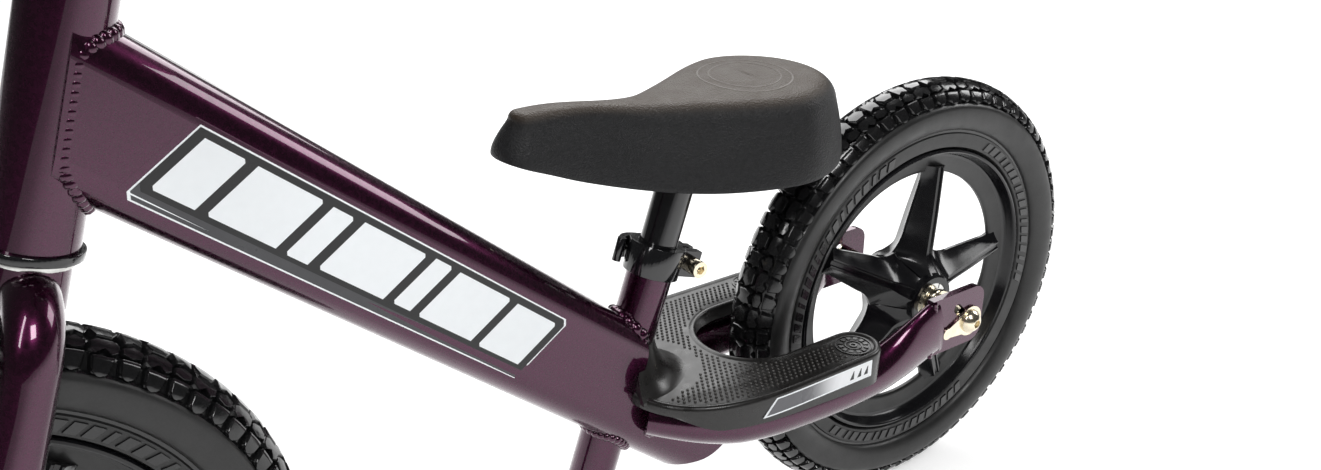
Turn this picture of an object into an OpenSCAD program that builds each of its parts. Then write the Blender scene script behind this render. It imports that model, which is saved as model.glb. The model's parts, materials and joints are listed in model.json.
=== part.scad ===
// Child's 12 inch balance bike: aluminium frame, moulded five-spoke wheels, foam tyres.
// +X is forward, +Y is the rider's left, +Z is up, and the wheels stand on z = 0.
// The origin lies on the ground, halfway between the two axles.

/* [Layout] */
// Distance between the axles
wheelbase = 578; // [570:1:590]
// Angle of the seat tube from the ground
seat_angle = 70.6; // [68:0.1:73]
// Angle of the head tube from the ground
head_angle = 71; // [69:0.5:73]
// Slope of the main tube
main_angle = 40.8; // [39:0.1:42]
// How far the front axle lies ahead of the steering axis
fork_offset = 5; // [0:1:12]

/* [Wheels] */
// Outer radius of the tyres
tyre_r = 150; // [145:1:155]
// Radius of the round section of a tyre
tyre_section_r = 19.5; // [17:0.5:21]
// Radius where the tyre sits on the rim
rim_r = 104; // [100:1:108]
// Width of the rim
rim_w = 25; // [22:1:28]
// Wall of the rim
rim_wall = 7; // [5:1:9]
// Spokes in a wheel
spoke_count = 5; // [5:1:6]
// Angle of the first rear spoke
rear_spoke_angle = 29; // [0:1:71]
// Angle of the first front spoke
front_spoke_angle = 54; // [0:1:71]
// Half the length of a wheel's hub
hub_half = 26; // [24:1:28]

/* [Frame] */
// Height of the main tube's section
main_h = 67; // [62:1:70]
// Width of the main tube's section
main_w = 41; // [38:1:44]
// Corner radius of the main tube's section
main_corner = 16; // [12:1:18]
// Outer diameter of the seat tube
seat_tube_d = 27; // [26.5:0.1:28.6]
// Outer diameter of the head tube
head_tube_d = 36; // [35:0.5:38]
// Length of the head tube
head_tube_len = 105; // [100:1:110]
// Diameter of the stays
stay_d = 28; // [26:1:29]
// Distance between the rear dropouts
rear_gap = 107; // [104:1:110]
// Distance between the fork's dropouts
front_gap = 92; // [90:1:96]
// Thickness of the dropout plates
plate_t = 5; // [4:0.5:6]

/* [Posts] */
// Diameter of the seat post and of the handlebar post
post_d = 22.2; // [22.2:0.1:22.2]
// Diameter of the bar that carries the grips
bar_d = 19; // [18:0.5:20]
// Half the width over the grips
bar_half = 176; // [165:1:180]
// Length of a grip
grip_len = 90; // [80:1:92]

/* [Footrest] */
// Height of the footrest's tread above the ground
tread_z = 160; // [158:1:162]
// Half the width of the footrest
foot_half = 68; // [66:1:70]
// Width of one of its arms
foot_arm = 33; // [30:1:34]

/* [Hidden] */
$fn = 48;

PAINT = "#3a1232";
BLACK = "#17171a";
FOAM = "#26262a";
STEEL = "#b9b4a4";
e = 0.01;
rear_x = -wheelbase / 2;
front_x = wheelbase / 2;

// Wheel and hub fits
bearing_r = 13;
bearing_in_r = 5;
bearing_split_r = 9;
bearing_w = 8;
run_gap = 0.05;
bolt_r = 3;

// Tubes and posts
post_r = post_d / 2;
slide_gap = 0.09;
steerer_r = 12.7;
seat_x = rear_x + 241;
seat_top = 93.5;
seat_bottom = -62;
seat_reamed = -46;
seat_end_r = 10.9;
collar_h = 18;
collar_lip = 2;
collar_wall = 3;
pin_x = -22;
pin_y = -13.5;
main_x = rear_x + 272;
main_z = 188.9;
main_front = 330;
main_back = -170;
main_wall = 3;
tail_z = 94;
tail_x = rear_x + 164;
deck_z = 152;
head_x = front_x - fork_offset / sin(head_angle);
head_low = 182;
head_high = head_low + head_tube_len;
steerer_top = head_high + 32;
bar_s = steerer_top + 30;
crown_s = 164;
crown_bend = 24;
leg_r = 11;
leg_y = 35;
leg_foot = 30;

// Places a shape on the seat tube's axis, s along it from the height of the axles.
module on_seat(s = 0) {
    translate([seat_x, 0, tyre_r]) rotate([0, seat_angle - 90, 0]) translate([0, 0, s]) children();
}

// Places a shape on the steering axis in the same way.
module on_head(s = 0) {
    translate([head_x, 0, tyre_r]) rotate([0, head_angle - 90, 0]) translate([0, 0, s]) children();
}

// Places a shape on the main tube's axis, which runs forward and up.
module on_main(s = 0) {
    translate([main_x, 0, main_z]) rotate([0, 90 - main_angle, 0]) translate([0, 0, s]) children();
}

// Lays a shape drawn about Z onto the axle line, so that its +Z is +Y.
module on_axle(x) {
    translate([x, 0, tyre_r]) rotate([-90, 0, 0]) children();
}

// Repeats a shape on both sides of the centre plane.
module both_sides() {
    children();
    mirror([0, 1, 0]) children();
}

// Repeats a shape at both ends of an axle that lies along Z.
module both_ends() {
    children();
    mirror([0, 0, 1]) children();
}

module rounded_rect(w, h, r) {
    square([w - 2 * r, h], center = true);
    square([w, h - 2 * r], center = true);
    for (x = [-1, 1], y = [-1, 1]) translate([x * (w / 2 - r), y * (h / 2 - r)]) circle(r);
}

module ring(outer, inner, h) {
    difference() {
        cylinder(r = outer, h = h);
        translate([0, 0, -1]) cylinder(r = inner, h = h + 2);
    }
}

// Skins a list of rings that all have the same number of points.
module loft(rings) {
    n = len(rings[0]);
    m = len(rings);
    polyhedron(
        points = [for (ring = rings) each ring],
        faces = [
            [for (i = [0:n - 1]) i],
            [for (i = [n - 1:-1:0]) (m - 1) * n + i],
            for (k = [0:m - 2], i = [0:n - 1]) let (j = (i + 1) % n)
                each [[k * n + i, (k + 1) * n + j, k * n + j],
                      [k * n + i, (k + 1) * n + i, (k + 1) * n + j]]]);
}

// ---- Frame ----

module main_section(grow) {
    rounded_rect(main_h + 2 * grow, main_w + 2 * grow, main_corner + grow);
}

// Side view of what the main tube may fill: its tail is rounded off under the stays.
module tail_limit(grow) {
    tail_r = 26;
    translate([0, main_w, 0]) rotate([90, 0, 0]) linear_extrude(2 * main_w) {
        translate([tail_x + tail_r, tail_z - grow]) square([700, 500]);
        translate([tail_x - grow, tail_z + tail_r]) square([60, 200]);
        translate([tail_x + tail_r, tail_z + tail_r]) circle(tail_r + grow);
    }
}

// What lies behind the seat tube and above the deck that carries the footrest.
module above_deck(z) {
    intersection() {
        on_seat(-100) translate([-300, -60, 0]) cube([300, 120, 500]);
        translate([rear_x - 50, -60, z]) cube([600, 120, 300]);
    }
}

module main_solid(grow = 0) {
    difference() {
        intersection() {
            on_main(main_back) linear_extrude(main_front - main_back) main_section(grow);
            tail_limit(grow);
        }
        above_deck(deck_z + grow);
        on_head(-200) translate([0, -60, 0]) cube([300, 120, 900]);
    }
}

module main_tube() {
    color(PAINT) difference() {
        main_solid();
        main_solid(-main_wall);
        on_seat(seat_bottom - 20) cylinder(d = seat_tube_d, h = 300);
        on_head(head_low - 60) cylinder(d = head_tube_d, h = 240);
    }
}

// Reamed for the post down to a shoulder, and open at its lower end, which takes a plug.
module seat_tube() {
    color(PAINT) {
        on_seat(seat_bottom) ring(seat_tube_d / 2, seat_end_r, seat_reamed - seat_bottom);
        on_seat(seat_reamed) ring(seat_tube_d / 2, post_r + slide_gap, seat_top - seat_reamed);
    }
}

module head_tube() {
    color(PAINT) on_head(head_low) ring(head_tube_d / 2, 15, head_tube_len);
}

// Centre line of a stay: from the main tube's tail, out round the tyre, and back to the dropout.
STAY = [[230, 20, -8], [218, 29, -10], [203, 37, -13], [183, 42.5, -17], [160, 46, -19],
    [135, 47.5, -20], [108, 48.5, -20], [82, 49.5, -18], [62, 51, -13], [46, 53, -6], [33, 55.5, 1.5],
    [27, 56, 3]];
STAY_FLAT_FROM = 6;

// Half height and half width of the stay at ring k: round, then pressed flat to take the dropout.
function stay_half(k) =
    let (t = max(0, (k - STAY_FLAT_FROM) / (len(STAY) - 1 - STAY_FLAT_FROM)), q = t * t * (3 - 2 * t))
    (stay_d / 2) * (0.82 + 0.18 * min(1, k / 3)) * [1, 1] + [6.5, -8.5] * q;

function stay_ring(k, sides = 24) =
    let (a = STAY[max(0, k - 1)], b = STAY[min(len(STAY) - 1, k + 1)], d = b - a,
         f = d / norm(d), s = [f[1], -f[0], 0] / norm([f[1], -f[0], 0]), u = cross(s, f), h = stay_half(k))
    [for (i = [0:sides - 1]) let (g = 360 * i / sides)
        [rear_x, 0, tyre_r] + STAY[k] + s * h[1] * cos(g) + u * h[0] * sin(g)];

module stay_solid() {
    loft([for (k = [0:len(STAY) - 1]) stay_ring(k)]);
}

module stay() {
    difference() {
        stay_solid();
        main_solid();
        on_seat(seat_bottom) cylinder(d = seat_tube_d, h = 120);
        dropout();
    }
}

module stay_left() { color(PAINT) stay(); }
module stay_right() { color(PAINT) mirror([0, 1, 0]) stay(); }

// Dropout plate: rounded rear corners and an oblique slot for the bolt.
module plate_outline(front, back, low, high, r) {
    polygon([[front, low], [front, high], [back + r, high], [back, high - r], [back, low + r],
        [back + r, low]]);
    for (z = [low + r, high - r]) translate([back + r, z]) circle(r);
}

module bolt_slot(length, angle) {
    rotate(angle) {
        for (x = [0, length]) translate([x, 0]) circle(bolt_r + 0.3);
        translate([0, -bolt_r - 0.3]) square([length, 2 * bolt_r + 0.6]);
    }
}

tab_x = 21;
tab_r = 2;

module dropout() {
    translate([rear_x, rear_gap / 2 + plate_t, tyre_r]) rotate([90, 0, 0]) linear_extrude(plate_t)
        difference() {
            plate_outline(36, -13, -17, 24, 10);
            bolt_slot(17, 45);
            rotate(-10) translate([tab_x, 0]) circle(tab_r + 0.2);
        }
}

module dropout_left() { color(PAINT) dropout(); }
module dropout_right() { color(PAINT) mirror([0, 1, 0]) dropout(); }

// ---- Footrest: one moulded U over the stays, with a raised lip round the seat tube ----

foot_in = foot_half - foot_arm;
foot_mid = rear_x + 138;
foot_back = rear_x + 81;
foot_front = rear_x + 243;
foot_bow = rear_x + 150;

// Half width of the footrest's outer edge at x: straight arms, then a full bow round the front.
function foot_edge(x, inset) =
    let (t = max(0, (x - foot_bow) / (foot_front - inset - foot_bow)))
    (foot_half - inset) * pow(max(0, 1 - pow(t, 2.7)), 1 / 2.7);

module foot_plan(inset = 0) {
    r_end = foot_arm / 2 - inset;
    end_x = foot_back + foot_arm / 2;
    bow = [for (i = [0:18]) let (x = foot_bow + (foot_front - inset - foot_bow) * sin(5 * i))
        [x, foot_edge(x, inset)]];
    difference() {
        union() {
            for (y = [-1, 1]) translate([end_x, y * (foot_half - foot_arm / 2)]) circle(r_end);
            polygon([each [[end_x, foot_half - inset]], each bow,
                     each [for (i = [17:-1:0]) [bow[i][0], -bow[i][1]]], each [[end_x, inset - foot_half]]]);
        }
        translate([foot_mid, 0]) circle(foot_in + inset);
        translate([foot_back - 30, -foot_in - inset])
            square([foot_mid - foot_back + 30, 2 * (foot_in + inset)]);
    }
}

foot_skin = 5;
foot_wall = 4;
foot_skirt = 17;
lip_h = 18;
notch = 16;
notch_z = 149;

module footrest() {
    color(BLACK) difference() {
        union() {
            translate([0, 0, tread_z - foot_skin]) linear_extrude(foot_skin) foot_plan();
            difference() {
                translate([0, 0, tread_z - foot_skirt]) linear_extrude(foot_skirt - 1) foot_plan();
                translate([0, 0, tread_z - foot_skirt - 1]) linear_extrude(foot_skirt) foot_plan(foot_wall);
            }
            intersection() {
                translate([0, 0, tread_z - 3]) linear_extrude(lip_h + 3) foot_plan();
                translate([seat_x - 38, -27, tread_z - 3]) cube([60, 54, lip_h + 3]);
            }
        }
        main_solid(0.3);
        on_seat(seat_bottom) cylinder(r = seat_tube_d / 2 + 0.3, h = 200);
        for (x = [foot_back - 1, foot_front - notch]) translate([x, -60, 0]) cube([notch + 1, 120, notch_z]);
    }
}

// ---- Headset ----

module headset_cup(s, insert_s, flange_h) {
    on_head(s) ring(20, steerer_r + slide_gap, flange_h);
    on_head(insert_s) ring(15 - e, steerer_r + slide_gap, 10);
}

module headset_lower_cup() { color(BLACK) headset_cup(head_low - 4, head_low - e, 4); }
module headset_upper_cup() { color(BLACK) headset_cup(head_high, head_high - 10 + e, 5); }
module headset_crown_race() { color(STEEL) on_head(crown_s + leg_r) ring(17, steerer_r + e, 2.6); }
module headset_top_nut() {
    color(BLACK) on_head(head_high + 5.3) difference() {
        cylinder(r = 19, h = 9, $fn = 8);
        translate([0, 0, -1]) cylinder(r = steerer_r + e, h = 12);
    }
}

// ---- Quick-release collars, drawn with their tube's end at z = collar_h - collar_lip ----

module collar(tube_r) {
    outer = tube_r + collar_wall;
    difference() {
        union() {
            cylinder(r = outer, h = collar_h);
            translate([pin_x - 6, -7.5, 1]) cube([-pin_x - 4, 15, collar_h - 2]);
        }
        translate([0, 0, -1]) cylinder(r = tube_r + e, h = collar_h - collar_lip + 1);
        cylinder(r = post_r + 0.5, h = collar_h + 1);
        translate([pin_x - 7, -1.5, -1]) cube([-pin_x, 3, collar_h + 2]);
        translate([pin_x, 10, collar_h / 2]) rotate([90, 0, 0]) cylinder(r = 2.6, h = 20);
    }
}

module skewer() {
    translate([pin_x, 13, collar_h / 2]) rotate([90, 0, 0]) cylinder(r = 2.5, h = 13 - pin_y);
    translate([pin_x, pin_y, collar_h / 2 - 7]) cylinder(r = 2.5, h = 14);
}

module skewer_nut() {
    difference() {
        translate([pin_x, 17, collar_h / 2]) rotate([90, 0, 0]) cylinder(r = 5, h = 9.5);
        translate([pin_x, 18, collar_h / 2]) rotate([90, 0, 0]) cylinder(r = 2.9, h = 4, $fn = 6);
        translate([pin_x, 15, collar_h / 2]) rotate([90, 0, 0]) cylinder(r = 2.5 + e, h = 9);
    }
}

lever_from = -147;
lever_to = -30;
lever_t = 3.4;
lever_h = 14;

// Plan of a lever that lies round its collar: cam, curved arm and rounded tip.
module lever_plan(r_in) {
    reach = 60;
    translate([pin_x, pin_y]) circle(5.8);
    intersection() {
        difference() {
            circle(r_in + lever_t);
            circle(r_in);
        }
        polygon([[0, 0], for (i = [0:4]) let (a = lever_from + (lever_to - lever_from) * i / 4)
            [reach * cos(a), reach * sin(a)]]);
    }
    rotate(lever_to) translate([r_in + lever_t / 2, 0]) circle(2.6);
}

module lever(tube_r) {
    low = (collar_h - lever_h) / 2;
    difference() {
        translate([0, 0, low]) linear_extrude(lever_h) lever_plan(tube_r + collar_wall + 2.6);
        translate([pin_x, pin_y, -1]) cylinder(r = 2.5 + run_gap, h = collar_h + 2);
        translate([pin_x - 7, pin_y - 9, collar_h / 2 - 2.7]) cube([9.7, 18, 5.4]);
    }
}

seat_collar_s = seat_top - collar_h + collar_lip;
bar_collar_s = steerer_top - collar_h + collar_lip;

module seat_collar() { color(BLACK) on_seat(seat_collar_s) collar(seat_tube_d / 2); }
module seat_skewer() { color(STEEL) on_seat(seat_collar_s) skewer(); }
module seat_skewer_nut() { color(STEEL) on_seat(seat_collar_s) skewer_nut(); }
module seat_lever() { color(BLACK) on_seat(seat_collar_s) lever(seat_tube_d / 2); }
module bar_collar() { color(BLACK) on_head(bar_collar_s) collar(steerer_r); }
module bar_skewer() { color(STEEL) on_head(bar_collar_s) skewer(); }
module bar_skewer_nut() { color(STEEL) on_head(bar_collar_s) skewer_nut(); }
module bar_lever() { color(BLACK) on_head(bar_collar_s) lever(steerer_r); }

// ---- Saddle ----

post_foot = -30;
post_head = 146;
plate_z = 144;
plate_from = 106;
plate_to = 250;

module seat_post() {
    color(BLACK) on_seat(post_foot) ring(post_r, post_r - 1.6, post_head - post_foot);
}

// The saddle at x from the rear axle: a round tail that tapers to a slim round nose. Its sides flare
// outwards from the top edge to the skirt.
function saddle_ease(x, from, to) = 0.5 - 0.5 * cos(180 * min(1, max(0, (x - from) / (to - from))));
function saddle_round(x) =
    x < 150 ? sqrt(max(0.004, 1 - pow((150 - x) / 58, 2))) :
    x > 294 ? sqrt(max(0.02, 1 - pow((x - 294) / 15, 2))) : 1;
function saddle_w(x) = (57 - 41 * saddle_ease(x, 140, 266)) * saddle_round(x);
function saddle_flare(x) =
    (5 + 6 * saddle_ease(x, 140, 200) - 3 * saddle_ease(x, 230, 290)) * saddle_round(x);
function saddle_low(x) = 130 + 0.0025 * pow(max(0, x - 188), 2) + 0.0003 * pow(min(0, x - 188), 2);
function saddle_high(x) = 179 - 2 * saddle_ease(x, 120, 190) + 8 * saddle_ease(x, 215, 295);

function saddle_ring(x, sides = 28) =
    let (w = saddle_w(x), lo = saddle_low(x), hi = saddle_high(x), sink = 10 * pow(1 - min(1, w / 14), 2),
         n = 0.42)
    [for (i = [0:sides - 1]) let (g = 360 * (i + 0.5) / sides, c = cos(g), s = sin(g),
         up = sign(s) * pow(abs(s), n))
        [rear_x + x, (w - up * saddle_flare(x) / 2) * sign(c) * pow(abs(c), n),
         tyre_r + (hi + lo) / 2 + (hi - lo - 2 * sink) / 2 * up]];

saddle_stations = [92, 93.5, 97, 104, 116, 132, 150, 168, 184, 200, 216, 233, 250, 270, 294, 302, 307, 309];

// Plan of the room under the saddle, which lies where its skirt hangs lower than the base plate.
module saddle_plan(inset) {
    xs = [for (i = [0:20]) plate_from + inset + (plate_to - plate_from - 2 * inset) * i / 20];
    polygon([each [for (x = xs) [rear_x + x, saddle_w(x) - inset]],
             each [for (i = [20:-1:0]) [rear_x + xs[i], inset - saddle_w(xs[i])]]]);
}

module saddle() {
    color(BLACK) difference() {
        loft([for (x = saddle_stations) saddle_ring(x)]);
        translate([0, 0, tyre_r + 100]) linear_extrude(plate_z + plate_t - 100) saddle_plan(7);
    }
}

module saddle_base() {
    color(BLACK) difference() {
        union() {
            translate([0, 0, tyre_r + plate_z]) linear_extrude(plate_t - e) saddle_plan(7.2);
            intersection() {
                on_seat(138) cylinder(r = 16, h = 18);
                translate([rear_x, -40, 0]) cube([400, 80, tyre_r + plate_z + 1]);
            }
        }
        on_seat(120) cylinder(r = post_r + e, h = post_head - 120 + e);
    }
}

module saddle_bolts() {
    color(STEEL) for (x = [150, 232], y = [-11, 11])
        translate([rear_x + x, y, tyre_r + plate_z - 3]) cylinder(r = 4, h = 3 - e);
}

// ---- Wheels, drawn about Z ----

module tyre() {
    lip = rim_w / 2;
    mid = tyre_r - tyre_section_r;
    color(FOAM) rotate_extrude($fn = 120) {
        translate([mid, 0]) intersection() {
            circle(tyre_section_r, $fn = 64);
            translate([-20, -30]) square([60, 60]);
        }
        polygon([[rim_r, -lip], [rim_r + 13, -lip - 1], [rim_r + 19, -lip - 4.6], [mid, -tyre_section_r],
                 [mid, tyre_section_r], [rim_r + 19, lip + 4.6], [rim_r + 13, lip + 1], [rim_r, lip]]);
    }
}

module rim() {
    color(BLACK) translate([0, 0, -rim_w / 2]) ring(rim_r - run_gap, rim_r - rim_wall, rim_w, $fn = 120);
}

star_r = 33;
web_r = 85.3;
web_half = 1.9;
star_half = 2.4;
spoke_edge = 1.4;
spoke_end = 96;

// Section of a spoke at distance x from the axle: a narrow ridge on both faces, thin edges between.
function spoke_ring(x) =
    let (wide = 14 - (x - 27) / 14, deep = 6.5 + (spoke_end - x) / 8)
    [for (c = [[spoke_edge, wide], [deep, 2.6], [deep, -2.6], [spoke_edge, -wide],
               [-spoke_edge, -wide], [-deep, -2.6], [-deep, 2.6], [-spoke_edge, wide]]) [x, c[1], c[0]]];

module spokes(first) {
    reach = rim_r - rim_wall - e;
    color(BLACK) difference() {
        union() {
            rotate_extrude($fn = 120)
                polygon([[0, -hub_half], [18.5, -hub_half], [star_r, -star_half], [star_r, star_half],
                         [18.5, hub_half], [0, hub_half]]);
            rotate_extrude($fn = 120)
                polygon([[reach, -4.5], [reach, 4.5], [web_r, web_half], [web_r, -web_half]]);
            for (k = [0:spoke_count - 1]) rotate(-first - 360 * k / spoke_count)
                loft([spoke_ring(8), spoke_ring(spoke_end)]);
        }
        cylinder(r = bearing_split_r + 1, h = 80, center = true);
        for (z = [-hub_half - 1, hub_half - bearing_w])
            translate([0, 0, z]) cylinder(r = bearing_r, h = bearing_w + 1);
    }
}

module bearing_outers() {
    color(STEEL) for (z = [-hub_half, hub_half - bearing_w])
        translate([0, 0, z]) ring(bearing_r - e, bearing_split_r + run_gap, bearing_w - e);
}

module bearing_inners() {
    color(STEEL) for (z = [-hub_half, hub_half - bearing_w])
        translate([0, 0, z]) ring(bearing_split_r, bearing_in_r + e, bearing_w - e);
}

module axle(gap) {
    color(STEEL) difference() {
        cylinder(r = bearing_in_r, h = gap - 2 * e, center = true);
        for (z = [-gap / 2 - 1, gap / 2 - 20]) translate([0, 0, z]) cylinder(r = bolt_r + e, h = 21);
    }
}

module spacers(gap) {
    color(STEEL) both_ends() difference() {
        union() {
            translate([0, 0, hub_half + e]) cylinder(r1 = 8.6, r2 = 10.5, h = 4);
            translate([0, 0, hub_half + 4]) cylinder(r = 10.5, h = 4);
            translate([0, 0, hub_half + 4]) cylinder(r = 7.5, h = gap / 2 - hub_half - 4 - e);
        }
        cylinder(r = bearing_in_r + e, h = gap);
    }
}

washer_t = 1.6;

// Teardrop washer whose bent tab sits in a hole in the dropout, so that it can't turn.
module washers(gap, angle) {
    color(STEEL) both_ends() rotate(-angle) translate([0, 0, gap / 2 + plate_t + e]) {
        difference() {
            linear_extrude(washer_t) {
                circle(10.5);
                polygon([[0, -9], [0, 9], [tab_x, 3.2], [tab_x, -3.2]]);
                translate([tab_x, 0]) circle(4);
            }
            translate([0, 0, -1]) cylinder(r = bolt_r + 0.2, h = 5);
        }
        translate([tab_x, 0, -plate_t + 1.5]) cylinder(r = tab_r, h = plate_t - 1);
    }
}

module bolts(gap) {
    seat_z = gap / 2 + plate_t + washer_t + 2 * e;
    color(STEEL) both_ends() difference() {
        union() {
            translate([0, 0, gap / 2 - 18]) cylinder(r = bolt_r, h = seat_z - gap / 2 + 19);
            translate([0, 0, seat_z]) rotate_extrude() intersection() {
                translate([0, -2]) circle(8.5);
                square([8, 9]);
            }
        }
        translate([0, 0, seat_z + 3]) cylinder(r = 2.9, h = 9, $fn = 6);
    }
}

module rear_tyre() { on_axle(rear_x) tyre(); }
module rear_rim() { on_axle(rear_x) rim(); }
module rear_spokes() { on_axle(rear_x) spokes(rear_spoke_angle); }
module rear_bearing_outers() { on_axle(rear_x) bearing_outers(); }
module rear_bearing_inners() { on_axle(rear_x) bearing_inners(); }
module rear_axle() { on_axle(rear_x) axle(rear_gap); }
module rear_spacers() { on_axle(rear_x) spacers(rear_gap); }
module rear_washers() { on_axle(rear_x) washers(rear_gap, -10); }
module rear_bolts() { on_axle(rear_x) bolts(rear_gap); }
module front_tyre() { on_axle(front_x) tyre(); }
module front_rim() { on_axle(front_x) rim(); }
module front_spokes() { on_axle(front_x) spokes(front_spoke_angle); }
module front_bearing_outers() { on_axle(front_x) bearing_outers(); }
module front_bearing_inners() { on_axle(front_x) bearing_inners(); }
module front_axle() { on_axle(front_x) axle(front_gap); }
module front_spacers() { on_axle(front_x) spacers(front_gap); }
module front_washers() { on_axle(front_x) washers(front_gap, 180 - head_angle); }
module front_bolts() { on_axle(front_x) bolts(front_gap); }

// ---- Fork, drawn in the steering axis's own frame ----

axle_s = -fork_offset / tan(head_angle);

module fork_steerer() {
    color(PAINT) on_head() difference() {
        union() {
            translate([0, 0, crown_s - 8]) cylinder(r = 16, h = 8 + leg_r);
            translate([0, 0, crown_s]) cylinder(r = steerer_r, h = steerer_top - crown_s);
        }
        translate([0, 0, crown_s + 15]) cylinder(r = post_r + slide_gap, h = 300);
    }
}

// Centre line of a leg as [y, s, lean]: up from the dropout, round the shoulder, in to the steerer.
function leg_path(steps = 6) =
    let (foot = [front_gap / 2 + plate_t / 2, axle_s + leg_foot], top = [leg_y, crown_s - crown_bend],
         lean = atan2(foot[0] - top[0], top[1] - foot[1]))
    [[foot[0], foot[1], lean], [(foot[0] + top[0]) / 2, (foot[1] + top[1]) / 2, lean],
     for (i = [0:steps]) let (a = 90 * i / steps)
        [leg_y - crown_bend * (1 - cos(a)), crown_s - crown_bend + crown_bend * sin(a), a],
     [0, crown_s, 90]];

function leg_ring(p, r, sides = 24) =
    let (forward = fork_offset * max(0, 1 - (p[1] - axle_s) / 120))
    [for (i = [0:sides - 1]) let (g = 360 * i / sides, q = r * sin(g))
        [forward + r * cos(g), p[0] + q * cos(p[2]), p[1] + q * sin(p[2])]];

module leg_solid() {
    path = leg_path();
    loft([for (i = [len(path) - 1:-1:0]) leg_ring(path[i], i == 0 ? leg_r - 1.5 : leg_r)]);
}

module fork_leg() {
    difference() {
        on_head() leg_solid();
        on_head(crown_s - 20) cylinder(r = 16, h = 20 + leg_r);
        on_head(crown_s) cylinder(r = steerer_r, h = 60);
        fork_dropout();
    }
}

module fork_dropout() {
    on_head() translate([fork_offset, front_gap / 2 + plate_t, axle_s]) rotate([90, 0, 0])
        linear_extrude(plate_t) difference() {
            union() {
                translate([-13, 0]) square([26, 40]);
                circle(15);
            }
            circle(bolt_r + 0.3);
            translate([-bolt_r - 0.3, -20]) square([2 * bolt_r + 0.6, 20]);
            translate([0, tab_x]) circle(tab_r + 0.2);
        }
}

module fork_leg_left() { color(PAINT) fork_leg(); }
module fork_leg_right() { color(PAINT) mirror([0, 1, 0]) fork_leg(); }
module fork_dropout_left() { color(PAINT) fork_dropout(); }
module fork_dropout_right() { color(PAINT) mirror([0, 1, 0]) fork_dropout(); }

// ---- Handlebar, in the same frame ----

bar_flat = 20;
bar_bend = 30;
bar_rise = 40;
bar_slope = 34;
bar_post_len = 150;
bar_r = bar_d / 2;
grip_s = bar_s + 2 * bar_bend * (1 - cos(bar_rise)) + bar_slope * sin(bar_rise);

// Centre line of the bar's left half as [y, s, slope]: flat, up a bend, and level again at the grip.
function bar_path(steps = 6) =
    let (level_y = bar_flat + 2 * bar_bend * sin(bar_rise) + bar_slope * cos(bar_rise))
    [for (i = [0:steps]) let (a = bar_rise * i / steps)
        [bar_flat + bar_bend * sin(a), bar_s + bar_bend * (1 - cos(a)), a],
     for (i = [0:steps]) let (a = bar_rise * (1 - i / steps))
        [level_y - bar_bend * sin(a), grip_s - bar_bend * (1 - cos(a)), a],
     [bar_half - 3, grip_s, 0]];

function bar_ring(p, r, sides = 24) =
    [for (i = [0:sides - 1]) let (g = 360 * i / sides, q = r * sin(g))
        [r * cos(g), p[0] - q * sin(p[2]), p[1] + q * cos(p[2])]];

module bar_solid(r) {
    half = bar_path();
    far = [for (i = [len(half) - 1:-1:0]) [-half[i][0], half[i][1], -half[i][2]]];
    loft([for (p = [each far, each half]) bar_ring(p, r)]);
}

module handlebar_post() {
    color(BLACK) on_head() difference() {
        translate([0, 0, bar_s - bar_post_len]) cylinder(r = post_r, h = bar_post_len);
        translate([0, 0, bar_s - bar_post_len - 1]) cylinder(r = post_r - 1.6, h = bar_post_len - 12);
        translate([0, -30, bar_s]) rotate([-90, 0, 0]) cylinder(r = bar_r, h = 60);
    }
}

module handlebar_bar() { color(BLACK) on_head() bar_solid(bar_r); }

pad_half = 56;
pad_r = 22;

// The soft pad closes round the bar and the top of the post.
module handlebar_pad() {
    color(FOAM) on_head(bar_s + 6) rotate([90, 0, 0]) cylinder(r = pad_r, h = 2 * pad_half, center = true);
}

module grip() {
    on_head() translate([0, bar_half, grip_s]) rotate([90, 0, 0]) rotate_extrude() difference() {
        union() {
            square([12.5, grip_len]);
            translate([0, 0]) square([17, 7]);
            translate([0, 3.5]) square([18.5, e]);
            translate([0, grip_len - 5]) square([17, 5]);
        }
        translate([-1, 3]) square([bar_r + e + 1, grip_len]);
    }
}

module grip_left() { color(BLACK) grip(); }
module grip_right() { color(BLACK) mirror([0, 1, 0]) grip(); }

main_tube();
seat_tube();
head_tube();
stay_left();
stay_right();
dropout_left();
dropout_right();
footrest();
headset_lower_cup();
headset_upper_cup();
seat_collar();
seat_skewer();
seat_skewer_nut();
seat_lever();
seat_post();
saddle_base();
saddle_bolts();
saddle();
rear_tyre();
rear_rim();
rear_spokes();
rear_bearing_outers();
rear_bearing_inners();
rear_axle();
rear_spacers();
rear_washers();
rear_bolts();
fork_steerer();
fork_leg_left();
fork_leg_right();
fork_dropout_left();
fork_dropout_right();
headset_crown_race();
headset_top_nut();
bar_collar();
bar_skewer();
bar_skewer_nut();
bar_lever();
handlebar_post();
handlebar_bar();
handlebar_pad();
grip_left();
grip_right();
front_tyre();
front_rim();
front_spokes();
front_bearing_outers();
front_bearing_inners();
front_axle();
front_spacers();
front_washers();
front_bolts();
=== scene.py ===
import json
import math
import bmesh
import bpy
from mathutils import Matrix, Vector
from mathutils.bvhtree import BVHTree


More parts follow.
